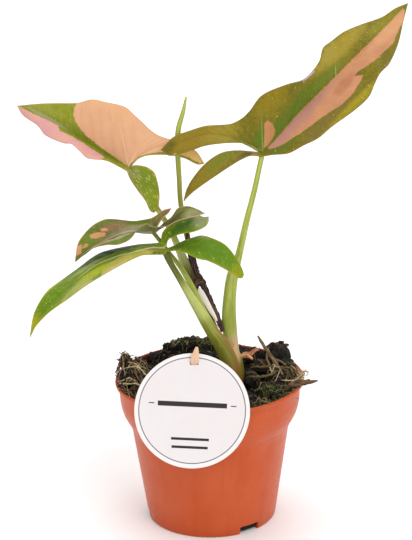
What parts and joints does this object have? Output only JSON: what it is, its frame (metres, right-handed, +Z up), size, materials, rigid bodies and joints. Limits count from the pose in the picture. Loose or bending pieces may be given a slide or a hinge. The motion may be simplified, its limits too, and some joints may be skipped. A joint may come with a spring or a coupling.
{
  "type": "potted arrowhead plant",
  "caption": "Young arrowhead plant with lobed pink and green leaves on tall stalks, growing in peat in a tapered terracotta-coloured plastic nursery pot with a round plant tag.",
  "frame": {"origin": "centre of the pot's flat underside", "axes": "+Z up the pot's axis, +X to the right and +Y away as seen from the side that the tag faces"},
  "size_m": [0.2461, 0.1294, 0.3232],
  "materials": {
    "pot_plastic": "satin injection-moulded plastic",
    "peat": "rough, fibrous and matt",
    "bark": "weathered bark",
    "green_stem": "smooth with a soft sheen",
    "olive_leaf": "satin, with a salmon pink strip",
    "peach_leaf": "satin, peach with green and pink edges",
    "dark_leaf": "satin, dark green with pink spots",
    "lime_leaf": "satin, dark green with a cream and lime lower half",
    "dried_sheath": "dry and fibrous",
    "papery_sheath": "dry and papery",
    "orange_bract": "dry and papery",
    "tag_card": "smooth matt card with a printed ring and plain lines",
    "pick_wood": "smooth pale wood"
  },
  "bodies": {
    "root": {"pot": "pot_plastic", "soil": "peat", "twig": "bark", "bark_shard": "bark", "crown": "green_stem", "petiole_upper_right": "green_stem", "petiole_upper_left": "green_stem", "petiole_middle_left": "green_stem", "petiole_lower_left": "green_stem", "spear_leaf": "green_stem", "leaf_upper_right": "olive_leaf", "leaf_upper_left": "peach_leaf", "leaf_middle_left": "dark_leaf", "leaf_lower_left": "lime_leaf", "dried_sheath": "dried_sheath", "papery_sheath": "papery_sheath", "dried_stipule": "orange_bract", "name_tag": "tag_card", "tag_pick": "pick_wood"}
  },
  "joints": []
}
